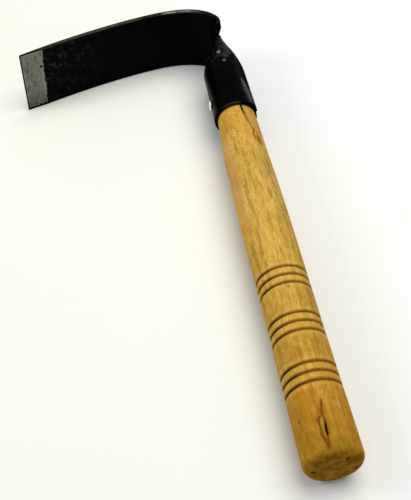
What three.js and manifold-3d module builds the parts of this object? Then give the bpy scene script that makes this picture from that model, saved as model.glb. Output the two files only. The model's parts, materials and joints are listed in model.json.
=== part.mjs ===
// Short-handled hand hoe: a bent steel blade welded into the pinched end of a steel socket, with
// a turned wooden handle driven into the socket and held by one nail. Millimetres, +Z up.
//
// Every piece is drawn with the handle's axis along +Y, from the middle of the butt at Y = 0, the
// blade pointing towards -X and its width along Z. The tool is then tipped a little, so that it lies
// on its side on the ground, and moved so that the origin is under the middle of its box.
import * as THREE from 'three';
import { mergeVertices } from 'three/addons/utils/BufferGeometryUtils.js';
import Module from 'manifold-3d';

const wasm = await Module();
wasm.setup();

// Driving dimensions
const gap = 0.3;                   // clearance between pieces that touch

const handle_length = 276;         // wood in sight, from the butt to the socket's mouth
const butt_radius = 17.3;
const grip_radius = 16.4;
const mouth_wood_radius = 13.7;
const butt_rounding = 6;
const taper_start = 150;           // from here on the wood thins towards the socket
const tenon_length = 40;           // wood hidden in the socket
const tenon_chamfer = 2;
const handle_drift = 0.8;          // how far the wood's last stretch leans over to meet the socket
const drift_start = 230;
const belly_length = 92;           // over which the wood thins from the butt to the grip
const wood_step = 18;              // between the wood's sections where it is plain
const round_segments = 36;         // round the wood and the socket alike

const groove_groups = 3;
const grooves_in_group = 3;
const groove_start = 45.9;         // the first burnt ring's distance from the butt
const groove_pitch = 6.1;          // from ring to ring in a group
const group_pitch = 34.2;          // from group to group
const groove_width = 2.2;
const groove_depth = 0.8;

const socket_wall = 1.9;
const rim_rounding = 0.8;
const socket_mouth_radius = mouth_wood_radius + gap + socket_wall;
const socket_neck_radius = 15.2;   // outside, where the round part ends
const pinch_start = 325;           // the tube is round up to here
const pinch_end = 357;             // and flat here, where it meets the blade's heel
const pinch_half_height = 14;
const pinch_squareness = 5;        // 2 is an ellipse, and more is closer to a rectangle
const pinch_steps = 10;
const bore_step = 13;              // between the sections of the socket's round part and its tenon

const blade_width = 50;
const root_thickness = 3;
const tip_thickness = 2.2;
const edge_thickness = 0.9;        // left at the blunt cutting edge
const bevel_length = 16.5;
const blade_lean = THREE.MathUtils.degToRad(2.3);
const tang_length = 18;            // hidden in the pinched socket
const tang_half_height = 10.4;
const heel_y = pinch_end + gap;
const heel_overhang = 2.6;         // how far the heel's two ears reach back past the socket's end
const tip_x = -148;
const tip_y = 340.7;
const tip_slope = THREE.MathUtils.degToRad(24.5);
const crown_x = -27;               // where the blade's back is furthest from the butt
const crown_y = 376.6;
const heel_bulge = 2.4;            // how far the bend's back swells out past the tang's
const heel_pull = 12;              // how strongly each end of the bend and of the blade holds
const bend_pull = 18;              // its direction before the curve turns away
const crown_pull = 25;
const tip_pull = 40;
const edge_chamfer = 0.5;
const lean_length = 30;            // over which the bend takes up the blade's lean
const bend_step = 3;               // between the blade's sections, in the bend and beyond it
const blade_step = 7;
const bend_length = 40;
const ear_rounding = 5;
const ear_swell = 0.4;
const notch_depth = 0.6;           // how far the notches above and below the tang cut into the heel

const bead_start = 331;
const bead_end = pinch_end - heel_overhang - 1.5;
const bead_width = 5.8;
const bead_height = 1.1;
const bead_edge = 0.2;             // height of the bead's steep edge
const bead_inset = 0.4;            // kept between the bead and the pinched part's corners
const bead_bluntness = 0.35;       // nearer to 0 is blunter at the bead's ends
const bead_ripple = 2.2;           // length of one ripple along the weld
const ripple_swell = 0.14;         // share of the bead's size by which a ripple swells
const ripple_steps = 4;

const nail_y = 293;
const nail_head_radius = 4;
const nail_head_height = 1.2;
const nail_head_edge = 0.4;
const nail_shank_radius = 1.6;
const nail_length = 20;
const nail_point = 4;
const nail_segments = 20;

// Finishes
const honey_wood = new THREE.MeshStandardMaterial({ color: 0xc8963c, roughness: 0.5, metalness: 0 });
const black_enamel = new THREE.MeshStandardMaterial({ color: 0x0a0a0a, roughness: 0.3, metalness: 0.2 });
const weld_metal = new THREE.MeshStandardMaterial({ color: 0x1c1d1c, roughness: 0.4, metalness: 0.4 });
const bright_steel = new THREE.MeshStandardMaterial({ color: 0xb4b6b4, roughness: 0.3, metalness: 1 });

const vec = (x, y, z) => new THREE.Vector3(x, y, z);
const { lerp, smoothstep } = THREE.MathUtils;

// A closed solid skinned over rings that all have the same number of points. Its two ends are
// capped, or joined to each other where the rings run out and back to make a tube's wall.
function skin(rings, is_tube = false) {
  const around = rings[0].length;
  const last = is_tube ? rings.length : rings.length - 1;
  const faces = [];
  for (let r = 0; r < last; r++) {
    const here = r * around;
    const next = ((r + 1) % rings.length) * around;
    for (let k = 0; k < around; k++) {
      const after = (k + 1) % around;
      faces.push(here + k, next + after, here + after);
      faces.push(here + k, next + k, next + after);
    }
  }
  if (!is_tube) {
    const end = last * around;
    for (let k = 1; k < around - 1; k++) {
      faces.push(0, k, k + 1);
      faces.push(end, end + k + 1, end + k);
    }
  }
  const solid = new THREE.BufferGeometry().setFromPoints(rings.flat());
  solid.setIndex(faces);
  solid.computeVertexNormals();
  return solid;
}

function to_manifold(geometry) {
  const bare = geometry.clone();
  bare.deleteAttribute('normal');
  bare.deleteAttribute('uv');
  const merged = mergeVertices(bare, 1e-4);
  return new wasm.Manifold(new wasm.Mesh({
    numProp: 3,
    vertProperties: new Float32Array(merged.attributes.position.array),
    triVerts: new Uint32Array(merged.index.array),
  }));
}

function cut(geometry, cutter) {
  const result = to_manifold(geometry).subtract(to_manifold(cutter)).getMesh();
  const solid = new THREE.BufferGeometry();
  solid.setAttribute('position', new THREE.BufferAttribute(result.vertProperties, 3));
  solid.setIndex(new THREE.BufferAttribute(result.triVerts, 1));
  solid.computeVertexNormals();
  return solid;
}

// The socket's outside at a distance from the butt: half its width along X and Z, and how square
// its outline is (2 is an ellipse).
function socket_section(y) {
  const taper = smoothstep(y, handle_length, pinch_start);
  const pinch = smoothstep(y, pinch_start, pinch_end);
  const round = lerp(socket_mouth_radius, socket_neck_radius, Math.sqrt(taper));
  const flat = root_thickness / 2 + gap + socket_wall;
  return {
    half_width: lerp(round, flat, pinch),
    half_height: lerp(round, pinch_half_height, pinch),
    squareness: lerp(2, pinch_squareness, pinch),
  };
}

// One ring of the socket, its outside or a line offset inwards from it.
function socket_ring(y, inwards) {
  const { half_width, half_height, squareness } = socket_section(y);
  const a = half_width - inwards;
  const b = half_height - inwards;
  const ring = [];
  for (let k = 0; k < round_segments; k++) {
    const angle = (2 * Math.PI * k) / round_segments;
    const c = Math.cos(angle);
    const s = Math.sin(angle);
    const x = a * Math.sign(c) * Math.abs(c) ** (2 / squareness);
    const z = b * Math.sign(s) * Math.abs(s) ** (2 / squareness);
    ring.push(vec(handle_drift + x, y, z));
  }
  return ring;
}

function socket_geometry() {
  const stations = [handle_length + rim_rounding];
  for (let y = handle_length + bore_step; y < pinch_start; y += bore_step) {
    stations.push(y);
  }
  for (let k = 0; k <= pinch_steps; k++) {
    stations.push(lerp(pinch_start, pinch_end, k / pinch_steps));
  }
  const outside = stations.map((y) => socket_ring(y, 0));
  const inside = stations.map((y) => socket_ring(y, socket_wall)).reverse();
  const lip = socket_ring(handle_length + 0.25 * rim_rounding, 0.3 * rim_rounding);
  const mouth = [socket_ring(handle_length, socket_wall), socket_ring(handle_length, rim_rounding), lip];
  return skin([...outside, ...inside, ...mouth], true);
}

// The line of the blade's back, seen along Z, from the tang's end round the bend to the tip.
function blade_path() {
  const back_x = handle_drift + root_thickness / 2;
  const heel = vec(back_x, heel_y, 0);
  const crown = vec(crown_x, crown_y, 0);
  const tip = vec(tip_x, tip_y, 0);
  const out_of_heel = vec(back_x + heel_bulge, heel_y + heel_pull, 0);
  const into_crown = vec(crown_x + bend_pull, crown_y, 0);
  const out_of_crown = vec(crown_x - crown_pull, crown_y, 0);
  const into_tip = vec(Math.cos(tip_slope), Math.sin(tip_slope), 0).multiplyScalar(tip_pull).add(tip);
  const path = new THREE.CurvePath();
  path.add(new THREE.LineCurve3(vec(back_x, heel_y - tang_length, 0), heel));
  path.add(new THREE.CubicBezierCurve3(heel, out_of_heel, into_crown, crown));
  path.add(new THREE.CubicBezierCurve3(crown, out_of_crown, into_tip, tip));
  return path;
}

// One section across the blade: its back lies on the path and its ground face is on the inside.
function blade_ring(path, distance, half_height, thickness) {
  const t = distance / path.getLength();
  const point = path.getPoint(t);
  const along = path.getTangent(t);
  const inwards = vec(-along.y, along.x, 0);
  const chamfer = Math.min(edge_chamfer, 0.3 * thickness);
  const lean = Math.tan(blade_lean) * smoothstep(distance, tang_length, tang_length + lean_length);
  const corners = [
    [0, chamfer - half_height], [0, half_height - chamfer],
    [chamfer, half_height], [thickness - chamfer, half_height],
    [thickness, half_height - chamfer], [thickness, chamfer - half_height],
    [thickness - chamfer, -half_height], [chamfer, -half_height],
  ];
  return corners.map(([depth, z]) => {
    const place = point.clone().addScaledVector(inwards, depth);
    return vec(place.x, place.y + lean * z, z);
  });
}

// What is cut away above the tang (side 1) or below it (side -1) to leave the heel's rounded ear.
function heel_cutter(side) {
  const half_width = blade_width / 2;
  const ear_y = heel_y - heel_overhang;
  const ear_top = ear_y + ear_rounding - 1;
  const far_y = heel_y - 1.3 * tang_length;
  const far_z = 1.2 * half_width;
  const outline = new THREE.Shape();
  outline.moveTo(far_y, tang_half_height);
  outline.lineTo(heel_y + notch_depth, tang_half_height);
  outline.lineTo(heel_y, pinch_half_height + gap);
  outline.lineTo(ear_y, half_width - ear_rounding);
  outline.quadraticCurveTo(ear_y - ear_swell, half_width, ear_top, half_width);
  outline.lineTo(ear_top, far_z);
  outline.lineTo(far_y, far_z);
  const depth = 6 * root_thickness;
  const cutter = new THREE.ExtrudeGeometry(outline, { depth, bevelEnabled: false, curveSegments: 6 });
  const to_tool = new THREE.Matrix4().makeBasis(vec(0, 1, 0), vec(0, 0, side), vec(side, 0, 0));
  cutter.applyMatrix4(to_tool);
  cutter.translate((-side * depth) / 2 + handle_drift, 0, 0);
  return cutter;
}

function blade_geometry() {
  const path = blade_path();
  const length = path.getLength();
  const bevel_start = length - bevel_length;
  const half_width = blade_width / 2;
  const plate = (d) => lerp(root_thickness, tip_thickness, Math.max(0, d - tang_length) / length);
  const ring = (d, thickness) => blade_ring(path, d, half_width, thickness);
  const rings = [ring(0, root_thickness)];
  for (let d = tang_length - bend_step; d < tang_length + bend_length; d += bend_step) {
    rings.push(ring(d, plate(d)));
  }
  for (let d = tang_length + bend_length; d < bevel_start - bend_step; d += blade_step) {
    rings.push(ring(d, plate(d)));
  }
  rings.push(ring(bevel_start, plate(bevel_start)));
  rings.push(ring(length, edge_thickness));
  return cut(cut(skin(rings), heel_cutter(1)), heel_cutter(-1));
}

// A weld run along the pinched socket's upper or lower seam, with its ripples.
function weld_geometry(side) {
  const count = Math.floor((ripple_steps * (bead_end - bead_start)) / bead_ripple);
  const arc_points = 8;
  const rings = [];
  for (let i = 0; i <= count; i++) {
    const y = lerp(bead_start, bead_end, i / count);
    const fullness = Math.sin((Math.PI * (i + 1)) / (count + 2)) ** bead_bluntness;
    const swell = fullness * (1 - ripple_swell * Math.cos((2 * Math.PI * i) / ripple_steps));
    const { half_width, half_height, squareness } = socket_section(y);
    const half = Math.min(bead_width / 2, half_width - bead_inset) * swell;
    const rise = (x) => (1 - (Math.abs(x) / half_width) ** squareness) ** (1 / squareness);
    const seat = (x) => gap + half_height * rise(x);
    const ring = [];
    for (let k = 0; k <= arc_points; k++) {
      const angle = (Math.PI * k) / arc_points;
      const x = half * Math.cos(angle);
      const height = seat(x) + bead_edge + bead_height * swell * Math.sin(angle);
      ring.push(vec(handle_drift + x, y, side * height));
    }
    for (let k = 0; k <= arc_points; k += 2) {
      const x = -half * Math.cos((Math.PI * k) / arc_points);
      ring.push(vec(handle_drift + x, y, side * seat(x)));
    }
    rings.push(side > 0 ? ring : ring.reverse());
  }
  return skin(rings);
}

// The wood's radius at a distance from the butt, without the rings.
function wood_radius(y) {
  const belly = lerp(butt_radius, grip_radius, smoothstep(y, 0, belly_length));
  const thinning = Math.max(0, (y - taper_start) / (handle_length - taper_start));
  return belly - (grip_radius - mouth_wood_radius) * thinning ** 2.2;
}

function handle_geometry() {
  const profile = [new THREE.Vector2(0, 0)];
  const point = (radius, y) => profile.push(new THREE.Vector2(radius, y));
  const edge_steps = 5;
  for (let k = 0; k <= edge_steps; k++) {
    const angle = (Math.PI / 2) * (k / edge_steps);
    point(butt_radius - butt_rounding * (1 - Math.sin(angle)), butt_rounding * (1 - Math.cos(angle)));
  }
  point(wood_radius(groove_start / 2), groove_start / 2);
  for (let group = 0; group < groove_groups; group++) {
    for (let groove = 0; groove < grooves_in_group; groove++) {
      const y = groove_start + group * group_pitch + groove * groove_pitch;
      point(wood_radius(y), y - groove_width / 2);
      point(wood_radius(y) - groove_depth, y);
      point(wood_radius(y), y + groove_width / 2);
    }
  }
  for (let y = taper_start; y < handle_length - wood_step / 2; y += wood_step) {
    point(wood_radius(y), y);
  }
  const bore = (y) => socket_section(y).half_width - socket_wall - gap;
  const tenon_end = handle_length + tenon_length;
  point(mouth_wood_radius, handle_length);
  for (let y = handle_length + bore_step; y < tenon_end - tenon_chamfer; y += bore_step) {
    point(bore(y), y);
  }
  point(bore(tenon_end - tenon_chamfer), tenon_end - tenon_chamfer);
  point(bore(tenon_end) - tenon_chamfer, tenon_end);
  point(0, tenon_end);
  const wood = new THREE.LatheGeometry(profile, round_segments);
  const place = wood.attributes.position;
  for (let i = 0; i < place.count; i++) {
    const over = handle_drift * smoothstep(place.getY(i), drift_start, handle_length);
    place.setX(i, place.getX(i) + over);
  }
  return wood;
}

// The nail points along its own -Y, with the underside of its head at Y = 0.
function nail_geometry() {
  const profile = [
    new THREE.Vector2(0, -nail_length),
    new THREE.Vector2(nail_shank_radius, nail_point - nail_length),
    new THREE.Vector2(nail_shank_radius, 0),
    new THREE.Vector2(nail_head_radius, 0),
  ];
  const dome_steps = 5;
  for (let k = 0; k < dome_steps; k++) {
    const angle = (Math.PI / 2) * (k / dome_steps);
    const height = lerp(nail_head_edge, nail_head_height, Math.sin(angle));
    profile.push(new THREE.Vector2(nail_head_radius * Math.cos(angle), height));
  }
  profile.push(new THREE.Vector2(0, nail_head_height));
  return new THREE.LatheGeometry(profile, nail_segments);
}

function named(name, geometry, material) {
  const mesh = new THREE.Mesh(geometry, material);
  mesh.name = name;
  return mesh;
}

const nail = named('nail', nail_geometry(), bright_steel);
nail.rotation.z = Math.PI / 2;
nail.position.set(handle_drift - socket_section(nail_y).half_width - gap, nail_y, 0);
nail.updateMatrix();
const hole_radius = nail_shank_radius + gap;
const hole_mouth = 3;              // how far the cutter stands out past the head's underside
const hole_length = nail_length + hole_mouth + 1;
const nail_hole = new THREE.CylinderGeometry(hole_radius, hole_radius, hole_length, nail_segments);
nail_hole.translate(0, hole_mouth - hole_length / 2, 0);
nail_hole.applyMatrix4(nail.matrix);

const tool = new THREE.Group();
tool.add(named('handle', cut(handle_geometry(), nail_hole), honey_wood));
tool.add(named('socket', cut(socket_geometry(), nail_hole), black_enamel));
tool.add(named('blade', blade_geometry(), black_enamel));
tool.add(named('upper_seam_weld', weld_geometry(1), weld_metal));
tool.add(named('lower_seam_weld', weld_geometry(-1), weld_metal));
tool.add(nail);

// The tool lies on the blade's lower edge, at the tip and at the heel, and on the butt's rounding.
const tip_rest = vec(tip_x, tip_y - (Math.tan(blade_lean) * blade_width) / 2, -blade_width / 2);
const heel_rest = vec(handle_drift, heel_y, -blade_width / 2);
const butt_rest = vec(0, butt_rounding, -butt_radius);
const up = new THREE.Vector3().crossVectors(
  heel_rest.clone().sub(butt_rest),
  tip_rest.clone().sub(butt_rest),
).normalize();
tool.quaternion.setFromUnitVectors(up, vec(0, 0, 1));
tool.updateMatrixWorld(true);
const box = new THREE.Box3().setFromObject(tool, true);
const middle = box.getCenter(new THREE.Vector3());
tool.position.set(-middle.x, -middle.y, -box.min.z);

const hand_hoe = new THREE.Group();
hand_hoe.add(tool);

export default hand_hoe;
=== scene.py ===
"""A short-handled hand hoe: enamelled head with a ground steel edge, turned wooden handle, one nail.

Shapes are worked out in millimetres in the tool's own frame: Y runs along the handle from the middle of
its butt, Z across the blade's width, and the blade points towards -X. The record's two mounts say how
that frame lies in the part, and every vertex is then placed in the part's frame in metres.
"""

import json
import math

import bpy
import numpy as np
from mathutils import Matrix, Vector, noise


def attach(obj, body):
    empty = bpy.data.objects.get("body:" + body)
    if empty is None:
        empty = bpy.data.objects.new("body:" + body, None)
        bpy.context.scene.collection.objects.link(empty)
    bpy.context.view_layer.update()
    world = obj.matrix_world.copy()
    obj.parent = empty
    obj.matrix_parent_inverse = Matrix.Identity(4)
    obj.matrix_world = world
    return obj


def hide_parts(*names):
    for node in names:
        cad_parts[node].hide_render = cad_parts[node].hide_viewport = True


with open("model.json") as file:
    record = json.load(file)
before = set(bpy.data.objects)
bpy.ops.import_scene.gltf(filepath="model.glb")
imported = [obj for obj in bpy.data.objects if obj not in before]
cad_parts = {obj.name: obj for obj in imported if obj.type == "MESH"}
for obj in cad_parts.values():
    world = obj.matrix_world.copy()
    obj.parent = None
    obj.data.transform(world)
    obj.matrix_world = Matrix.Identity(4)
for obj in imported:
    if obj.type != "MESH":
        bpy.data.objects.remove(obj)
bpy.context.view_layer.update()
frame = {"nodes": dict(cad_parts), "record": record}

# ---------------------------------------------------------------------------------------------------
# The tool's frame, and the sizes that the CAD nodes have in it (mm)
# ---------------------------------------------------------------------------------------------------
MM = 0.001
mounts = {mount["name"]: mount for mount in frame["record"]["mounts"]}
butt = Vector(mounts["butt_end"]["pos_m"])
along = -Vector(mounts["butt_end"]["axis"]).normalized()
up = -Vector(mounts["blade_lower_edge"]["axis"]).normalized()
across = along.cross(up).normalized()
TOOL = Matrix((across, along, across.cross(along))).transposed().to_4x4()
TOOL.translation = butt
FROM_PART = np.array(TOOL.inverted())


def in_tool(node):
    """The lowest and highest corner of a CAD node in the tool's frame, in millimetres."""
    points = np.array([v.co for v in frame["nodes"][node].data.vertices])
    points = (points @ FROM_PART[:3, :3].T + FROM_PART[:3, 3]) / MM
    return points.min(axis=0), points.max(axis=0)


wood_high = in_tool("handle")[1]
socket_low, socket_high = in_tool("socket")
blade_high = in_tool("blade")[1]
weld_low, weld_high = in_tool("upper_seam_weld")
nail_low, nail_high = in_tool("nail")

GAP = 0.3                                        # clearance between a piece and the next
HALF_WIDTH = blade_high[2] - 0.01                # half of the blade's width
MOUTH_Y = socket_low[1]                          # where the wood goes into the socket
TENON_END = wood_high[1]
DRIFT = (socket_low[0] + socket_high[0]) / 2     # the socket's axis lies this far to +X
MOUTH_RADIUS = (socket_high[0] - socket_low[0]) / 2
PINCH_END = socket_high[1]
HEEL_Y = PINCH_END + GAP
BUTT_RADIUS = wood_high[2]

SOCKET_WALL = 1.9
RIM_ROUNDING = 0.8
NECK_RADIUS = 15.2                               # outside, where the round part ends
PINCH_START = 325.0                              # the socket is round up to here
PINCH_HALF_HEIGHT = 14.0
PINCH_SQUARENESS = 5.0                           # 2 is an ellipse, and more is closer to a rectangle
LAP_EDGE = 20.0                                  # where the sheet laps over itself, in degrees from +X
LAP_HEIGHT = 0.5                                 # how far the lap stands out on its upper side
LAP_DEPTH = 0.8                                  # and how far the sheet under it is sunk
LAP_OVER_ARC = 60.0                              # the degrees over which each of them fades
LAP_UNDER_ARC = 80.0
LAP_FADE = 10.0                                  # the lap closes this far about the pinch's start

MOUTH_WOOD_RADIUS = MOUTH_RADIUS - SOCKET_WALL - GAP
GRIP_RADIUS = 16.4
BUTT_ROUNDING = 6.0
BELLY_LENGTH = 92.0                              # over which the wood thins from the butt to the grip
TAPER_START = 150.0                              # from here on the wood thins towards the socket
DRIFT_START = 230.0                              # and from here on it leans over to meet it

GROOVE_PLACES = [45.9 + 34.2 * group + 6.1 * ring for group in range(3) for ring in range(3)]
GROOVE_WIDTH = 2.7
GROOVE_DEPTH = 1.0

ROOT_THICKNESS = 3.0
TIP_THICKNESS = 2.2
EDGE_THICKNESS = 0.9                             # left at the blunt cutting edge
BEVEL_LENGTH = 16.5
BLADE_LEAN = math.tan(math.radians(2.3))
LEAN_LENGTH = 30.0                               # over which the bend takes up the blade's lean
TANG_LENGTH = 18.0
TANG_HALF_HEIGHT = 10.4
TIP = Vector((-148.0, 340.7))
TIP_SLOPE = math.radians(24.5)
CROWN = Vector((-27.0, 376.59))                  # where the blade's back is furthest from the butt
HEEL_BULGE = 3.2                                 # how far the bend's curve is pulled to +X at the heel
HEEL_PULL = 12.0                                 # how strongly each end of the bend and of the plate
BEND_PULL = 18.0                                 # holds its direction before the curve turns away
CROWN_PULL = 25.0
TIP_PULL = 40.0
EAR_OVERHANG = 2.6                               # how far the plate's two ears reach back past the heel
EAR_FLARE = 1.6                                  # how far they are bent back
EAR_FLARE_LENGTH = 13.0                          # and how soon that is straight again
EAR_ROUNDING = 5.0                               # of the ears' corners, in height
EAR_ROUNDING_LENGTH = 4.0                        # and along the plate
EDGE_ROUNDING = 0.45                             # of the plate's long edges
WORN_AND_LIT_RIM = (HALF_WIDTH - 1.4, HALF_WIDTH - 0.5)  # the front's rim under the top edge, worn and with a painted highlight
FLECK = (-133.4, 10.4)                           # a fleck of paint left on the ground bevel, by X and Z
FLECK_RADIUS = 1.2


# ---------------------------------------------------------------------------------------------------
# Small helpers
# ---------------------------------------------------------------------------------------------------
def lerp(a, b, t):
    return a + (b - a) * t


def smoothstep(x, low, high):
    t = np.clip((np.asarray(x, float) - low) / (high - low), 0.0, 1.0)
    return t * t * (3 - 2 * t)


def bumpy(points, size, seed, detail=1):
    """Smooth noise from about -1 to 1 at each of the points, with lumps of about the given size."""
    shift = Vector((17.3, 5.1, 9.7)) * seed
    size = Vector(size) if hasattr(size, "__len__") else Vector((size, size, size))
    places = [Vector((p[0] / size.x, p[1] / size.y, p[2] / size.z)) + shift for p in points]
    if detail == 1:
        return np.array([noise.noise(p) for p in places])
    return np.array([noise.fractal(p, 1.0, 2.0, detail) for p in places])


def piece_from(name, points, faces, material, node, layers):
    """A piece made of points in the tool's frame (mm), riding on the body and standing for a CAD node."""
    mesh = bpy.data.meshes.new(name)
    placed = points * MM @ np.array(TOOL.to_3x3()).T + np.array(TOOL.translation)
    mesh.from_pydata(placed.tolist(), [], faces)
    mesh.shade_smooth()
    where = mesh.attributes.new("tool_place", "FLOAT_VECTOR", "POINT")
    where.data.foreach_set("vector", points.astype(np.float32).ravel())
    for layer, values in layers.items():
        attribute = mesh.attributes.new(layer, "FLOAT", "POINT")
        attribute.data.foreach_set("value", np.asarray(values, np.float32).ravel())
    mesh.materials.append(material)
    mesh.validate()
    mesh.update()
    piece = bpy.data.objects.new(name, mesh)
    bpy.context.scene.collection.objects.link(piece)
    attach(piece, "root")
    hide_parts(node)
    return piece


def loft_faces(ring_count, around, is_tube=False, start_pole=None, end_pole=None):
    """Faces over rings of points in a row, whose ends meet, close on a pole or stay open."""
    faces = []
    for r in range(ring_count if is_tube else ring_count - 1):
        here, there = r * around, ((r + 1) % ring_count) * around
        for k in range(around):
            after = (k + 1) % around
            faces.append((here + k, here + after, there + after, there + k))
    if start_pole is not None:
        faces += [(start_pole, (k + 1) % around, k) for k in range(around)]
    if end_pole is not None:
        last = (ring_count - 1) * around
        faces += [(end_pole, last + k, last + (k + 1) % around) for k in range(around)]
    return faces


# ---------------------------------------------------------------------------------------------------
# Materials
# ---------------------------------------------------------------------------------------------------
class Look:
    """A material under construction, with short ways to add nodes and join them."""

    def __init__(self, name):
        self.material = bpy.data.materials.new(name)
        self.material.use_nodes = True
        self.nodes = self.material.node_tree.nodes
        self.links = self.material.node_tree.links
        self.shader = self.nodes["Principled BSDF"]

    def put(self, value, socket):
        if isinstance(value, bpy.types.NodeSocket):
            self.links.new(value, socket)
        elif hasattr(value, "__len__") and len(value) == 3 and socket.type == "RGBA":
            socket.default_value = (*value, 1.0)
        else:
            socket.default_value = value

    def node(self, kind, **inputs):
        made = self.nodes.new(kind)
        for name, value in inputs.items():
            self.put(value, made.inputs[name.replace("_", " ")])
        return made

    def layer(self, name, output="Fac"):
        """What piece_from has stored at the points under a name."""
        made = self.nodes.new("ShaderNodeAttribute")
        made.attribute_name = name
        return made.outputs[output]

    def math(self, operation, a, b=0.0):
        made = self.nodes.new("ShaderNodeMath")
        made.operation = operation
        self.put(a, made.inputs[0])
        self.put(b, made.inputs[1])
        return made.outputs[0]

    def times(self, a, b):
        return self.math("MULTIPLY", a, b)

    def plus(self, a, b):
        return self.math("ADD", a, b)

    def span(self, value, low, high, to_low=0.0, to_high=1.0):
        """A smooth change from to_low to to_high while the value goes from low to high."""
        made = self.nodes.new("ShaderNodeMapRange")
        made.interpolation_type = "SMOOTHSTEP"
        for socket, number in zip(made.inputs, (value, low, high, to_low, to_high)):
            self.put(number, socket)
        return made.outputs[0]

    def mix(self, share, a, b, blend="MIX"):
        made = self.nodes.new("ShaderNodeMix")
        made.data_type = "RGBA"
        made.blend_type = blend
        self.put(share, made.inputs[0])
        self.put(a, made.inputs[6])
        self.put(b, made.inputs[7])
        return made.outputs[2]

    def scaled(self, vector, scale, shift=(0.0, 0.0, 0.0)):
        made = self.nodes.new("ShaderNodeMapping")
        self.put(vector, made.inputs["Vector"])
        made.inputs["Scale"].default_value = scale
        made.inputs["Location"].default_value = shift
        return made.outputs[0]

    def noise(self, vector, scale, detail=3.0, roughness=0.55, distortion=0.0):
        made = self.node("ShaderNodeTexNoise", Vector=vector, Scale=scale, Detail=detail,
                         Roughness=roughness, Distortion=distortion)
        return made.outputs["Fac"]

    def bump(self, heights):
        """Bumps laid over one another, each as (height, how tall it is in mm)."""
        normal = None
        for height, tall in heights:
            made = self.node("ShaderNodeBump", Height=height, Distance=tall * MM, Strength=1.0)
            if normal is not None:
                self.put(normal, made.inputs["Normal"])
            normal = made.outputs[0]
        self.put(normal, self.shader.inputs["Normal"])

    def set(self, **inputs):
        for name, value in inputs.items():
            self.put(value, self.shader.inputs[name.replace("_", " ")])


# What the wood's discoloured patches turn it into
PATCH_TINTS = {"warm": (0.48, 0.185, 0.006), "blush": (0.60, 0.285, 0.09), "shade": (0.20, 0.115, 0.005),
               "pale": (0.60, 0.42, 0.16), "rust": (0.28, 0.085, 0.004)}
POLISHED_TINT = (0.86, 0.58, 0.14)


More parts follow.
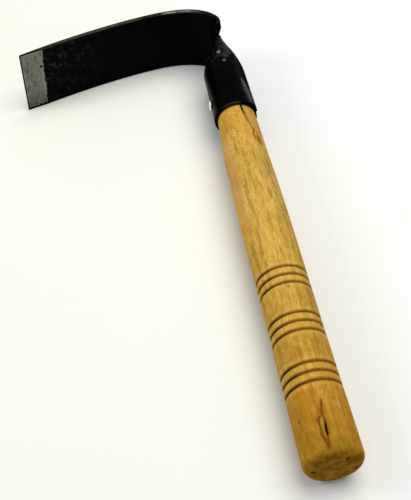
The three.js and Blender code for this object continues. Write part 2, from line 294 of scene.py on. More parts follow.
def wood_look():
    look = Look("honey_wood")
    place = look.layer("tool_place", "Vector")
    from_butt = look.node("ShaderNodeSeparateXYZ", Vector=place).outputs["Y"]
    slow = look.noise(look.scaled(place, (0.05, 0.012, 0.05)), 1.0, 2.0)
    drift = look.noise(look.scaled(place, (0.03, 0.02, 0.03), (7.0, 3.0, 1.0)), 1.0, 2.0)
    streaks = look.noise(look.scaled(place, (0.42, 0.02, 0.42)), 1.0, 5.0, 0.62, 0.6)
    fibres = look.noise(look.scaled(place, (2.4, 0.09, 2.4)), 1.0, 4.0, 0.65)
    mottle = look.noise(look.scaled(place, (0.3, 0.15, 0.3), (2.0, 9.0, 4.0)), 1.0, 4.0, 0.62)
    speckle = look.noise(look.scaled(place, (0.9, 0.5, 0.9), (3.0, 7.0, 2.0)), 1.0, 3.0, 0.6)
    pores = look.noise(look.scaled(place, (2.1, 0.28, 2.1), (5.0, 1.0, 8.0)), 1.0, 2.0)

    # The board's growth rings, whose middle lies well outside the handle
    cross_place = look.scaled(place, (1.0, 0.0, 1.0), (38.0, 0.0, 52.0))
    from_pith = look.node("ShaderNodeVectorMath", Vector=cross_place)
    from_pith.operation = "LENGTH"
    wavering = look.plus(from_pith.outputs["Value"], look.times(drift, 26.0))
    rings = look.math("SINE", look.times(wavering, 1.9))

    # Slow changes of tone: paler before the socket, browner towards the butt
    colour = look.mix(look.span(slow, 0.38, 0.62), (0.60, 0.335, 0.05), (0.69, 0.44, 0.09))
    past_grip = look.span(from_butt, 150.0, 205.0, 0.0, 0.42)
    before_socket = look.span(from_butt, 262.0, 230.0)
    colour = look.mix(look.times(past_grip, before_socket), colour, (0.80, 0.57, 0.18))
    colour = look.mix(look.span(from_butt, 165.0, 0.0, 0.0, 0.8), colour, (0.32, 0.15, 0.0015))
    colour = look.mix(look.span(drift, 0.52, 0.68, 0.0, 0.55), colour, (0.52, 0.225, 0.024))
    colour = look.mix(look.span(drift, 0.30, 0.44, 0.5, 0.0), colour, (0.42, 0.27, 0.025))

    # Streaks, growth rings, mottling, fibres and pores
    colour = look.mix(look.span(streaks, 0.47, 0.64, 0.0, 0.6), colour, (0.30, 0.13, 0.007))
    colour = look.mix(look.span(rings, 0.2, 1.0, 0.0, 0.2), colour, (0.28, 0.135, 0.014))
    paler = look.times(look.span(mottle, 0.44, 0.64), look.span(from_butt, 10.0, 120.0, 0.2, 0.45))
    colour = look.mix(paler, colour, (0.74, 0.47, 0.095))
    colour = look.mix(look.span(speckle, 0.5, 0.66, 0.0, 0.4), colour, (0.30, 0.135, 0.008))
    colour = look.mix(look.span(fibres, 0.44, 0.68, 0.0, 0.35), colour, (0.25, 0.115, 0.006))
    colour = look.mix(look.span(pores, 0.66, 0.72, 0.0, 0.5), colour, (0.15, 0.065, 0.008))

    # The handle's own patches, which the streaks break up, and painted shade on its right side
    broken = look.span(look.plus(streaks, look.times(speckle, 0.5)), 0.55, 0.8, 1.0, 0.45)
    for layer, tint in (*PATCH_TINTS.items(), ("polished", POLISHED_TINT)):
        colour = look.mix(look.times(look.layer(layer), broken), colour, tint)
    colour = look.mix(look.layer("painted_side_shade"), colour, (0.76, 0.75, 0.72), "MULTIPLY")

    # The butt's end grain, and then stains, burnt grooves with a painted shadow under the socket's rim,
    # and cracks with painted shade in the grooves on the left side over everything
    coarse = look.noise(place, 0.2, 3.0, 0.55)
    dots = look.noise(place, 1.5, 3.0, 0.7)
    cut_fibres = look.mix(look.span(coarse, 0.38, 0.62), (0.13, 0.042, 0.001), (0.27, 0.125, 0.003))
    cut_fibres = look.mix(look.span(dots, 0.58, 0.7, 0.0, 0.2), cut_fibres, (0.07, 0.025, 0.001))
    colour = look.mix(look.times(look.layer("end_grain"), 0.85), colour, cut_fibres)
    colour = look.mix(look.layer("stain"), colour, (0.15, 0.04, 0.001))
    colour = look.mix(look.layer("burn_and_rim_shadow"), colour, (0.155, 0.047, 0.0005))
    colour = look.mix(look.layer("near_black"), colour, (0.006, 0.003, 0.001))

    look.set(Base_Color=colour, Roughness=look.span(mottle, 0.3, 0.7, 0.6, 0.75), Specular_IOR_Level=0.02)
    look.bump([(fibres, 0.04), (pores, -0.04), (mottle, 0.08)])
    return look.material


def enamel_look(name, has_edge):
    """Black enamel, which has_edge makes give way to ground steel at the blade's end."""
    look = Look(name)
    place = look.layer("tool_place", "Vector")
    peel = look.noise(place, 0.55, 2.0)
    lumps = look.noise(place, 0.16, 3.0, 0.6)
    specks = look.noise(place, 1.3, 3.0, 0.7)
    scale = look.noise(look.scaled(place, (1.0, 1.0, 0.7), (3.0, 1.0, 6.0)), 0.36, 5.0, 0.72)
    rough_area = look.layer("rough")

    # Scuffs, then bare metal that stands for wear and for painted highlights and glints, then dust with a
    # painted sheen
    scuffed = look.times(look.span(scale, 0.5, 0.66), look.span(lumps, 0.42, 0.6))
    scuffed = look.times(scuffed, rough_area)
    colour = look.mix(look.span(lumps, 0.4, 0.7), (0.0002, 0.0002, 0.0002), (0.0009, 0.001, 0.0008))
    colour = look.mix(scuffed, colour, (0.045, 0.047, 0.046))
    roughness = look.span(lumps, 0.3, 0.7, 0.26, 0.36)
    roughness = look.plus(roughness, look.times(scuffed, 0.2))
    roughness = look.plus(roughness, look.times(look.layer("dull"), 0.6))
    bare_and_highlit = look.times(look.layer("wear_and_highlight"), look.span(specks, 0.36, 0.52))
    colour = look.mix(bare_and_highlit, colour, (0.60, 0.60, 0.41))
    dust_and_sheen_share = look.times(look.layer("dust_and_sheen"), look.span(scale, 0.3, 0.7, 0.25, 1.0))
    colour = look.mix(dust_and_sheen_share, colour, (0.105, 0.10, 0.075))
    metal_share = look.times(bare_and_highlit, 0.9)
    heights = [(peel, 0.03), (lumps, 0.1), (look.times(scale, rough_area), 0.2)]

    if has_edge:
        # The ground steel, whose border with the enamel is ragged
        ragged = look.times(look.math("SUBTRACT", look.noise(place, 0.33, 3.0, 0.6), 0.5), 2.6)
        depth_in = look.plus(look.layer("ground"), ragged)
        steel = look.span(depth_in, -0.2, 0.2)
        scratches = look.noise(look.scaled(place, (2.2, 2.2, 0.12)), 1.0, 4.0, 0.7)
        clouds = look.noise(look.scaled(place, (1.3, 1.3, 0.6)), 0.2, 4.0, 0.62)
        height = look.node("ShaderNodeSeparateXYZ", Vector=place).outputs["Z"]
        pits = look.noise(look.scaled(place, (1.0, 1.0, 1.0), (9.0, 2.0, 5.0)), 0.85, 3.0, 0.6)
        metal = look.mix(look.span(scratches, 0.3, 0.7), (0.11, 0.108, 0.092), (0.26, 0.255, 0.228))
        metal = look.mix(look.span(depth_in, 3.2, 1.2, 0.0, 0.4), metal, (0.30, 0.30, 0.275))
        metal = look.mix(look.span(clouds, 0.44, 0.62, 0.0, 0.65), metal, (0.085, 0.081, 0.056))
        lower_end = look.span(height, -6.0, -20.0, 0.0, 0.7)
        lower_end = look.times(look.span(scratches, 0.35, 0.6, 1.0, 0.5), lower_end)
        metal = look.mix(lower_end, metal, (0.05, 0.047, 0.033))
        metal = look.mix(look.span(pits, 0.59, 0.67, 0.0, 0.85), metal, (0.02, 0.019, 0.016))
        colour = look.mix(steel, colour, metal)
        roughness = look.mix(steel, roughness, look.span(scratches, 0.3, 0.7, 0.42, 0.55))
        metal_share = look.math("MAXIMUM", metal_share, look.times(steel, 0.75))
        heights.append((look.times(scratches, steel), 0.03))

    look.set(Base_Color=colour, Roughness=roughness, Metallic=metal_share, Specular_IOR_Level=0.02)
    look.bump(heights)
    return look.material


def weld_look():
    look = Look("weld_metal")
    place = look.layer("tool_place", "Vector")
    grit = look.noise(place, 1.1, 4.0, 0.7)
    patches = look.noise(place, 0.45, 3.0)
    colour = look.mix(look.span(patches, 0.45, 0.6), (0.0015, 0.0015, 0.0014), (0.008, 0.008, 0.007))
    # Painted glints: bright bare-looking metal in the weld's lumps
    bare_and_highlit = look.times(look.layer("wear_and_highlight"), look.span(grit, 0.4, 0.55))
    colour = look.mix(bare_and_highlit, colour, (0.62, 0.62, 0.50))
    look.set(Base_Color=colour, Roughness=look.span(grit, 0.3, 0.7, 0.24, 0.42), Metallic=bare_and_highlit)
    look.set(Specular_IOR_Level=0.06)
    look.bump([(grit, 0.15), (patches, 0.3)])
    return look.material


def nail_look():
    look = Look("bright_steel")
    place = look.layer("tool_place", "Vector")
    dull = look.noise(place, 0.7, 3.0)
    fine = look.noise(look.scaled(place, (1.0, 0.3, 3.0)), 2.0, 3.0)
    colour = look.mix(look.span(dull, 0.35, 0.65), (0.72, 0.72, 0.70), (0.95, 0.95, 0.94))
    colour = look.mix(look.span(fine, 0.66, 0.74, 0.0, 0.4), colour, (0.3, 0.29, 0.27))
    look.set(Base_Color=colour, Roughness=look.span(dull, 0.3, 0.7, 0.26, 0.4), Metallic=1.0)
    look.bump([(fine, 0.03), (dull, 0.08)])
    return look.material


def floor_look():
    look = Look("pale_sheet")
    place = look.node("ShaderNodeNewGeometry").outputs["Position"]
    broad = look.noise(place, 3.0, 2.0)
    fine = look.noise(place, 140.0, 3.0)
    aside = look.node("ShaderNodeSeparateXYZ", Vector=place).outputs["X"]
    colour = look.mix(look.span(broad, 0.35, 0.65), (0.855, 0.86, 0.80), (0.87, 0.872, 0.815))
    colour = look.mix(look.span(aside, -0.1, 0.12), colour, (0.862, 0.866, 0.85))
    look.set(Base_Color=colour, Roughness=0.85, Specular_IOR_Level=0.15)
    look.bump([(fine, 0.05)])
    return look.material


# ---------------------------------------------------------------------------------------------------
# The turned handle
# ---------------------------------------------------------------------------------------------------
def socket_section(y):
    """The socket's outside at a distance from the butt: half width, half height and squareness."""
    taper = smoothstep(y, MOUTH_Y, PINCH_START)
    pinch = smoothstep(y, PINCH_START, PINCH_END)
    rounded = lerp(MOUTH_RADIUS, NECK_RADIUS, np.sqrt(taper))
    flat = ROOT_THICKNESS / 2 + GAP + SOCKET_WALL
    half_width = lerp(rounded, flat, pinch)
    half_height = lerp(rounded, PINCH_HALF_HEIGHT, pinch)
    return half_width, half_height, lerp(2.0, PINCH_SQUARENESS, pinch)


def wood_radius(y):
    """The plain wood's radius, in the grip, in the taper and in the socket."""
    belly = lerp(BUTT_RADIUS, GRIP_RADIUS, smoothstep(y, 0.0, BELLY_LENGTH))
    thinning = max(0.0, (y - TAPER_START) / (MOUTH_Y - TAPER_START))
    if y > MOUTH_Y:
        return socket_section(y)[0] - SOCKET_WALL - GAP
    return belly - (GRIP_RADIUS - MOUTH_WOOD_RADIUS) * thinning ** 2.2


def wood_outline():
    """The wood's stations from the butt's middle to the tenon's end, as (distance, radius)."""
    disc = BUTT_RADIUS - BUTT_ROUNDING
    stations = [(0.0, disc * i / 16) for i in range(1, 16)]
    for i in range(15):
        angle = math.radians(90 * i / 14)
        stations.append((BUTT_ROUNDING * (1 - math.cos(angle)), disc + BUTT_ROUNDING * math.sin(angle)))
    # Stations are closest in the grooves, and closer than elsewhere at the butt and at the mouth
    y = BUTT_ROUNDING
    while y < MOUTH_Y + 2:
        nearest = min(abs(y - place) for place in GROOVE_PLACES)
        is_detailed = y < 36 or MOUTH_Y - 20 < y < MOUTH_Y
        y += 0.16 if nearest < GROOVE_WIDTH * 0.6 else 0.45 if is_detailed else 0.9
        stations.append((y, wood_radius(y)))
    while y < TENON_END - 3:
        y += 2.5
        stations.append((y, wood_radius(y)))
    end_radius = wood_radius(TENON_END) - 2
    return stations + [(TENON_END, end_radius), (TENON_END, end_radius / 2)]


def on_wood(degrees, y):
    """The point of the wood at an angle from its top towards +X and a distance from the butt."""
    angle, radius = math.radians(degrees), wood_radius(y)
    shift = DRIFT * float(smoothstep(y, DRIFT_START, MOUTH_Y))
    return np.array((shift + radius * math.sin(angle), y, radius * math.cos(angle)))


def line_mask(points, line, spread=1.0):
    """1 on a line, falling to 0 at its half width. The line is a list of (place, half width)."""
    best = np.zeros(len(points))
    for (start, w0), (end, w1) in zip(line, line[1:]):
        start, way = np.array(start), np.array(end) - np.array(start)
        t = np.clip((points - start) @ way / (way @ way), 0.0, 1.0)
        distance = np.linalg.norm(points - start - t[:, None] * way, axis=1)
        width = lerp(w0, w1, t) * spread
        best = np.maximum(best, np.clip(1.2 - 1.2 * distance / np.maximum(width, 1e-3), 0.0, 1.0))
    return best


def lines_mask(points, lines, spread=1.0):
    """The same for several lines over the wood, each a list of (degrees, distance, half width)."""
    best = np.zeros(len(points))
    for line in lines:
        stops = [(on_wood(degrees, y), width) for degrees, y, width in line]
        best = np.maximum(best, line_mask(points, stops, spread))
    return best


def spot_mask(points, centre, radius):
    """1 at a spot's centre, falling to 0 at its radius."""
    return np.clip(1.3 - 1.3 * np.linalg.norm(points - centre, axis=1) / radius, 0.0, 1.0)


# Open cracks, and brown lines that are hardly open, as (degrees from the top towards +X, distance from
# the butt, half width)
CRACKS = [
    [(11.0, 276.5, 0.95), (11.3, 271.3, 1.0), (13.0, 268.0, 0.6), (14.6, 265.5, 0.1)],
    [(-9.0, 20.3, 0.2), (-9.3, 18.4, 0.7), (-10.6, 15.3, 0.85), (-10.2, 13.3, 0.7), (-10.6, 12.0, 0.15)],
]
BROWN_LINES = [
    [(11.0, 272.0, 0.9), (14.4, 266.3, 0.8), (17.0, 262.0, 0.6), (22.0, 255.0, 0.4), (27.0, 249.5, 0.3)],
    [(8.5, 268.0, 0.15), (11.6, 264.8, 0.4), (16.1, 259.6, 0.2)],
    [(-4.5, 33.5, 0.3), (-6.5, 30.3, 0.9), (-9.0, 27.0, 1.5), (-9.7, 25.3, 1.5), (-8.7, 23.5, 0.5)],
    [(-8.7, 23.5, 0.5), (-8.4, 20.9, 1.1), (-9.3, 18.8, 1.1), (-10.6, 15.1, 1.2), (-10.0, 12.5, 0.8),
     (-11.7, 9.7, 0.6), (-13.9, 5.3, 0.9), (-14.4, 3.6, 0.3)],
    [(-10.0, 24.3, 0.3), (-14.0, 23.6, 0.4), (-19.5, 22.3, 1.5), (-19.7, 20.2, 0.8), (-19.6, 17.6, 0.5),
     (-20.6, 13.5, 0.9), (-18.7, 11.2, 1.2), (-16.2, 8.9, 1.0), (-14.1, 5.6, 1.1)],
    [(30.5, 250.2, 0.4), (23.5, 245.1, 0.5), (25.9, 240.1, 0.4)],
    [(31.9, 244.0, 0.4), (38.0, 242.5, 0.6), (35.8, 238.8, 0.5)],
    [(42.6, 242.3, 0.5), (41.7, 236.1, 0.6)],
]
# Discoloured patches as (layer, degrees, distance, half its angle, half its length, strength)
PATCHES = [
    ("blush", -64, 210, 30, 44, 1.0),
    ("warm", -42, 36, 20, 10, 0.8), ("warm", 17, 252, 16, 24, 0.4), ("warm", 33, 243, 14, 10, 1.0),
    ("warm", 24, 18, 8, 13, 0.5), ("warm", 60, 60, 20, 14, 0.35),
    ("rust", 25, 247, 4, 4, 0.5), ("rust", 37, 240, 8, 6, 0.5), ("rust", -20, 22, 7, 3, 0.35),
    ("rust", -15, 9, 7, 4, 0.3), ("rust", 45, 29, 6, 5, 0.3),
    ("shade", -31, 177, 4, 15, 0.75), ("shade", -6, 181, 4, 13, 0.45), ("shade", 18, 188, 6, 7, 0.75),
    ("shade", -28, 167, 3, 8, 0.6), ("shade", 52, 177, 8, 8, 0.6), ("shade", 24, 147, 5, 10, 0.5),
    ("shade", -63, 149, 8, 8, 0.5), ("shade", 10, 23, 4, 13, 0.5), ("shade", 6, 5.0, 34, 7.0, 0.85),
    ("shade", -26, 4, 14, 5, 0.5), ("shade", -44, 13, 12, 8, 0.45), ("shade", 20, 222, 5, 12, 0.35),
    ("shade", -20, 120, 6, 12, 0.3),
    ("pale", 30, 195, 5, 9, 0.6), ("pale", 41, 184, 6, 7, 0.6), ("pale", 29, 186, 4, 5, 0.5),
    ("pale", 27, 31, 5, 5, 0.5), ("pale", -13.5, 18, 2.6, 5.5, 1.0), ("pale", 0, 38, 6, 2, 0.4),
]
# Small marks as (degrees, distance, radius, how dark, how deep), and the butt's pits as (centre, radius)
MARKS = [(-16.2, 248.7, 0.9, 0.9, 0.3), (-2.8, 111.1, 1.1, 1.0, 0.5), (-58.9, 25.9, 1.3, 1.0, 0.4),
         (48.0, 196.0, 1.1, 0.5, 0.1), (12.0, 84.5, 0.7, 0.5, 0.1)]
BUTT_PITS = [((-12.0, 0.4, 0.0), 2.2), ((5.2, 0.0, 10.8), 1.5), ((-4.0, 0.0, 5.5), 0.7)]


def patch_layers(points, angle, y):
    """How strongly each kind of patch shows at the points, given their angles and distances."""
    layers = {layer: np.zeros(len(points)) for layer in PATCH_TINTS}
    wavy = 0.45 * bumpy(points, (3, 10, 3), 5, 2)
    for layer, degree, distance, half_angle, half_length, strength in PATCHES:
        turned = (np.degrees(angle) - degree + 180) % 360 - 180
        reach = np.hypot(turned / half_angle, (y - distance) / half_length)
        patch = strength * np.clip(2.2 * (1 - reach) + wavy, 0.0, 1.0)
        layers[layer] = np.maximum(layers[layer], patch)
    return layers


def make_handle():
    stations = wood_outline()
    degrees = np.concatenate((np.arange(-30, 45, 1.0), np.linspace(45, 330, 93)[:-1]))
    angles = np.radians(degrees)
    y = np.repeat([s[0] for s in stations], len(angles))
    radius = np.repeat([s[1] for s in stations], len(angles))
    angle = np.tile(angles, len(stations))
    outward = np.stack((np.sin(angle), np.zeros_like(angle), np.cos(angle)), axis=1)
    on_butt = 1.0 - smoothstep(y, 0.5, BUTT_ROUNDING * 0.9)
    shift = DRIFT * smoothstep(y, DRIFT_START, MOUTH_Y)
    points = outward * radius[:, None]
    points[:, 0] += shift
    points[:, 1] = y

    from_groove = np.min([np.abs(y - place) for place in GROOVE_PLACES], axis=0)
    groove = 0.5 + 0.5 * np.cos(math.pi * np.clip(from_groove / (0.5 * GROOVE_WIDTH), 0.0, 1.0))
    singed = 0.5 + 0.5 * np.cos(math.pi * np.clip(from_groove / (0.85 * GROOVE_WIDTH), 0.0, 1.0))
    polished = smoothstep(from_groove, 1.2, 1.7) * (1 - smoothstep(from_groove, 2.4, 5.0))
    # Painted shade in the grooves on the handle's left side, which joins the cracks and the butt's pits
    # in the near-black layer
    painted_groove_shade = 0.95 * groove * smoothstep(-np.sin(angle), 0.2, 0.95)
    # Painted shadow of the socket's rim on the wood just below the mouth, carried with the burnt grooves
    painted_rim_shadow = smoothstep(y, MOUTH_Y - 1.6, MOUTH_Y - 0.3)
    near_black = lines_mask(points, CRACKS)
    brown = lines_mask(points, BROWN_LINES)
    stain = np.maximum(brown * 0.95, lines_mask(points, BROWN_LINES, 2.6) * 0.45)
    sunk = GROOVE_DEPTH * groove + 1.5 * near_black + 0.4 * brown
    pits = np.zeros(len(points))
    for degree, distance, size, dark, hollow in MARKS:
        mark = spot_mask(points, on_wood(degree, distance), size)
        stain = np.maximum(stain, mark * dark)
        sunk += mark * hollow
    for centre, size in BUTT_PITS:
        pits = np.maximum(pits, spot_mask(points, np.array(centre), size))
    sunk += 0.8 * pits
    sunk += 0.09 * (1 + bumpy(points, (14, 60, 14), 1)) + 0.03 * (1 + bumpy(points, (3, 5, 3), 2))

    patches = patch_layers(points, angle, y)

    inward = -outward * (1 - on_butt)[:, None]
    inward[:, 1] += on_butt
    flat = np.abs(y) < 1e-6
    sunk[flat] += 0.05 * (1 + bumpy(points[flat], 2.5, 3))
    points += inward * sunk[:, None]
    poles = np.array([(0.0, 0.12, 0.0), (DRIFT, TENON_END, 0.0)])
    count = len(points)
    points = np.vstack((points, poles))

    def with_poles(values, butt_value=0.0):
        return np.concatenate((values, (butt_value, 0.0)))

    faces = loft_faces(len(stations), len(angles), start_pole=count, end_pole=count + 1)
    burn_and_rim_shadow = np.maximum(0.68 * groove ** 1.6 + 0.3 * singed, painted_rim_shadow)
    # Painted shade: the handle's right side is darker, and more so away from the butt
    painted_side_shade = smoothstep(np.sin(angle), 0.2, 0.75) * lerp(0.45, 1.0, smoothstep(y, 40, 130))
    layers = {
        "burn_and_rim_shadow": with_poles(np.clip(burn_and_rim_shadow, 0.0, 1.0)),
        "near_black": with_poles(np.clip(1.5 * near_black + pits + painted_groove_shade, 0.0, 1.0)),
        "stain": with_poles(stain),
        "polished": with_poles(0.33 * polished),
        "end_grain": with_poles(on_butt, 1.0),
        "painted_side_shade": with_poles(painted_side_shade),
        **{layer: with_poles(values) for layer, values in patches.items()},
    }
    return piece_from("turned_handle", points, faces, wood_look(), "handle", layers)


# ---------------------------------------------------------------------------------------------------
# The socket
# ---------------------------------------------------------------------------------------------------
def lap_rise(turn, y):
    """How far the rolled sheet's lap stands out of the round socket, at angles from +X towards +Z."""
    degrees = (np.degrees(turn) + 180) % 360 - 180
    over = smoothstep(degrees, LAP_EDGE + LAP_OVER_ARC, LAP_EDGE) * (degrees >= LAP_EDGE)
    under = smoothstep(degrees, LAP_EDGE - LAP_UNDER_ARC, LAP_EDGE) * (degrees < LAP_EDGE)
    is_open = 1 - smoothstep(y, PINCH_START - LAP_FADE, PINCH_START + LAP_FADE)
    return (LAP_HEIGHT * over - LAP_DEPTH * under) * is_open


def socket_ring(y, inset, around):
    """One line round the socket, its outside or a line inset from it."""
    half_width, half_height, squareness = socket_section(y)
    turn = np.linspace(0, 2 * math.pi, around, endpoint=False)
    c, s = np.cos(turn), np.sin(turn)
    ring = np.zeros((around, 3))
    ring[:, 0] = DRIFT + (half_width - inset) * np.sign(c) * np.abs(c) ** (2 / squareness)
    ring[:, 1] = y
    ring[:, 2] = (half_height - inset) * np.sign(s) * np.abs(s) ** (2 / squareness)
    rise = lap_rise(turn, y) * (1 - inset / SOCKET_WALL)
    ring[:, 0] += rise * c
    ring[:, 2] += rise * s
    return ring


# Painted highlights as light lines over the socket's shoulder and its pinch, as (strength, stops), and
# painted glints as spots of bare-looking metal, as (centre, radius, strength)
SHOULDER_CREASE = [((-9.0, 328.2, 11.7), 0.9), ((-4.1, 329.7, 14.4), 1.1), ((-1.4, 335.7, 14.8), 0.9)]
HIGHLIGHT_LINES = [
    (0.035, SHOULDER_CREASE),
    (0.12, [((0.3, 354.1, 14.0), 0.6), ((5.6, 340.5, 14.2), 1.2), ((5.4, 334.1, 14.5), 0.6)]),
]
GLINT_SPOTS = [
    ((-1.6, 335.0, 14.8), 1.8, 1.0), ((0.9, 339.0, 14.9), 1.5, 0.6), ((0.6, 324.6, 15.2), 1.5, 0.35),
    ((2.6, 330.5, 15.0), 3.4, 0.08), ((5.4, 334.1, 14.5), 3.2, 0.08),
]
# A streak of dust with a painted sheen down the socket's right side, as (place, half width)
DUST_AND_SHEEN_STREAK = [((10.0, 304.0, 12.5), 1.8), ((11.6, 293.0, 11.3), 4.4), ((12.4, 281.5, 11.3), 3.6)]


def neck_painted_glints(points):
    """How strongly the painted glints and highlight lines show at each point of the neck."""
    wear_and_highlight = np.zeros(len(points))
    for strength, line in HIGHLIGHT_LINES:
        wear_and_highlight = np.maximum(wear_and_highlight, strength * line_mask(points, line))
    for centre, size, strength in GLINT_SPOTS:
        wear_and_highlight = np.maximum(wear_and_highlight, strength * spot_mask(points, np.array(centre), size))
    return wear_and_highlight


def rounded_rim(end_y, inwards, steps):
    """Stations over one rounded end of the socket, from its full width to its edge, as (y, inset)."""
    stations = []
    for i in range(1, steps + 1):
        angle = math.radians(90 * i / steps)
        y = end_y + inwards * RIM_ROUNDING * (1 - math.sin(angle))
        stations.append((y, RIM_ROUNDING * (1 - math.cos(angle))))
    return stations


def make_socket():
    around, outer_count, inner_count = 144, 100, 30
    stations = rounded_rim(MOUTH_Y, 1, 8)[::-1]
    for i in range(outer_count):
        share = i / (outer_count - 1)
        stations.append((lerp(MOUTH_Y + RIM_ROUNDING, PINCH_END - RIM_ROUNDING, share), 0.0))
    stations += rounded_rim(PINCH_END, -1, 6)
    outside = len(stations)
    for i in range(inner_count):
        share = i / (inner_count - 1)
        stations.append((lerp(PINCH_END, MOUTH_Y + 0.3, share), SOCKET_WALL))
    stations.append((MOUTH_Y, SOCKET_WALL - 0.3))

    points = np.vstack([socket_ring(y, inset, around) for y, inset in stations])
    y = points[:, 1]
    centre = np.stack((np.full(len(y), DRIFT), y, np.zeros(len(y))), axis=1)
    outward = points - centre
    outward /= np.linalg.norm(outward, axis=1)[:, None]
    is_outside = np.arange(len(points)) < outside * around
    rough = 0.65 * smoothstep(y, PINCH_START - 8, PINCH_START + 12) * is_outside
    dents = 0.1 * (1 + bumpy(points, (9, 14, 9), 11)) + rough * 0.3 * (1 + bumpy(points, 4.5, 12, 3))
    crease = line_mask(points, SHOULDER_CREASE) * is_outside
    points -= outward * (dents * is_outside - 0.45 * crease)[:, None]
    # Painted highlight along the upper left of the mouth's rim
    rim_highlight = 0.07 * np.clip(1 - np.abs(y - MOUTH_Y - 0.4) / 0.8, 0.0, 1.0)
    rim_highlight *= smoothstep(outward[:, 2], 0.6, 0.95) * smoothstep(outward[:, 0], 0.3, 0.0)
    dull_side = smoothstep(outward[:, 0], 0.5, 0.8)
    dull_rim = 1 - smoothstep(y, MOUTH_Y + 0.5, MOUTH_Y + 2)
    faces = loft_faces(len(stations), around, is_tube=True)
    layers = {
        "rough": rough,
        "wear_and_highlight": np.maximum(neck_painted_glints(points), rim_highlight) * is_outside,
        "dust_and_sheen": line_mask(points, DUST_AND_SHEEN_STREAK) * is_outside,
        "dull": np.maximum(dull_side, dull_rim),
    }
    material = enamel_look("black_enamel", has_edge=False)
    return piece_from("forged_socket", points, faces, material, "socket", layers)


# ---------------------------------------------------------------------------------------------------
# The curved blade
# ---------------------------------------------------------------------------------------------------
def bezier(points, count):
    t = np.linspace(0, 1, count)[:, None]
    a, b, c, d = (np.array(p) for p in points)
    return a * (1 - t) ** 3 + 3 * b * t * (1 - t) ** 2 + 3 * c * t * t * (1 - t) + d * t ** 3


def blade_back():
    """Places along the line of the blade's back, from the tang's end to the tip, and their distances."""
    back_x = DRIFT + ROOT_THICKNESS / 2
    heel = (back_x, HEEL_Y)
    into_tip = TIP + TIP_PULL * Vector((math.cos(TIP_SLOPE), math.sin(TIP_SLOPE)))
    tang = np.linspace((back_x, HEEL_Y - TANG_LENGTH), heel, 20)
    from_heel = (back_x + HEEL_BULGE, HEEL_Y + HEEL_PULL)
    bend = bezier((heel, from_heel, (CROWN.x + BEND_PULL, CROWN.y), CROWN), 200)
    plate = bezier((CROWN, (CROWN.x - CROWN_PULL, CROWN.y), into_tip, TIP), 400)
    line = np.vstack((tang, bend[1:], plate[1:]))
    distance = np.concatenate(([0.0], np.cumsum(np.linalg.norm(np.diff(line, axis=0), axis=1))))
    return line, distance


def heel_outline(height):
    """Where the plate begins along its line, by the height: tang, notch, ear and rounding."""
    height = np.abs(height)
    begins = np.where(height < TANG_HALF_HEIGHT, 0.0, TANG_LENGTH + 0.6)
    notch = smoothstep(height, TANG_HALF_HEIGHT + 1.5, PINCH_HALF_HEIGHT + 1.2)
    begins = np.where(height >= TANG_HALF_HEIGHT, begins - (0.6 + EAR_OVERHANG) * notch, begins)
    corner = np.clip((height - HALF_WIDTH + EAR_ROUNDING) / EAR_ROUNDING, 0.0, 1.0)
    return begins + EAR_ROUNDING_LENGTH * (1 - np.sqrt(1 - corner ** 2 * 0.999))


def blade_section():
    """A section's loop of points as (share of the thickness, depth added, height, how much it wears and
    shows the painted highlight).
    """
    corner = EDGE_ROUNDING
    heights = np.concatenate((np.linspace(0, TANG_HALF_HEIGHT - 0.05, 12),
                              np.linspace(TANG_HALF_HEIGHT + 0.05, PINCH_HALF_HEIGHT + 1.2, 8),
                              np.linspace(PINCH_HALF_HEIGHT + 1.9, HALF_WIDTH - EAR_ROUNDING, 6),
                              HALF_WIDTH - corner - np.linspace(4, 0, 9)))
    heights = np.unique(np.round(np.concatenate((-heights, heights)), 4))
    turn = []                                    # (depth added, height) round the back's upper corner
    for i in range(1, 5):
        angle = math.radians(90 * i / 5)
        turn.append((corner * (1 - math.cos(angle)), HALF_WIDTH - corner * (1 - math.sin(angle))))
    back = [(0.0, 0.0, z, 0.0) for z in heights]
    over = [(0.0, d, z, 0.0) for d, z in turn]
    over += [(0.0, corner, HALF_WIDTH, 0.0), (0.35, 0.0, HALF_WIDTH, 0.0), (0.65, 0.0, HALF_WIDTH, 0.9),
             (1.0, -corner, HALF_WIDTH, 1.0)]
    over += [(1.0, -d, z, 1.0) for d, z in reversed(turn)]
    front = [(1.0, 0.0, z, float(np.interp(z, WORN_AND_LIT_RIM, (0.0, 0.8)))) for z in heights[::-1]]
    under = [(share, d, -z, 0.0) for share, d, z, _ in reversed(over)]
    loop = back + over + front + under
    # The loop starts in the middle of the lower edge, so that its first and last points face each other
    half = len(under) // 2
    return np.array(loop[-half:] + loop[:-half])


# How bare the top edge's metal is, and how bright its painted highlight, at some distances across the
# tool
EDGE_SHINE_PLACES = (-140, -104, -60, -54, -40, -35, -20, -8, 4)
EDGE_WEAR_AND_SHINE = (0.02, 0.11, 0.12, 0.035, 0.04, 0.45, 0.38, 0.04, 0.0)


def blade_stations(length):
    """Distances along the back's line, closer together in the bend and in the ground part."""
    begin = np.concatenate((np.linspace(0, 0.5, 4), np.arange(1.0, TANG_LENGTH - 3, 1.5)))
    bend = np.arange(begin[-1] + 0.7, TANG_LENGTH + 45, 0.7)
    plain = np.arange(bend[-1] + 1.6, length - BEVEL_LENGTH - 4, 1.6)
    ground_part = np.arange(plain[-1] + 0.5, length - 0.2, 0.5)
    return np.concatenate((begin, bend, plain, ground_part, (length - 0.1, length)))


def ear_flare(s, height):
    """How far the ears are bent back, at distances along the line and heights from its middle."""
    flare = smoothstep(np.abs(height), PINCH_HALF_HEIGHT, HALF_WIDTH - 2.5)
    flare *= 1 - 0.3 * smoothstep(np.abs(height), HALF_WIDTH - 4, HALF_WIDTH)
    straight = smoothstep(s, TANG_LENGTH + 1, TANG_LENGTH + 1 + EAR_FLARE_LENGTH)
    return flare * (EAR_FLARE * (1 - straight))


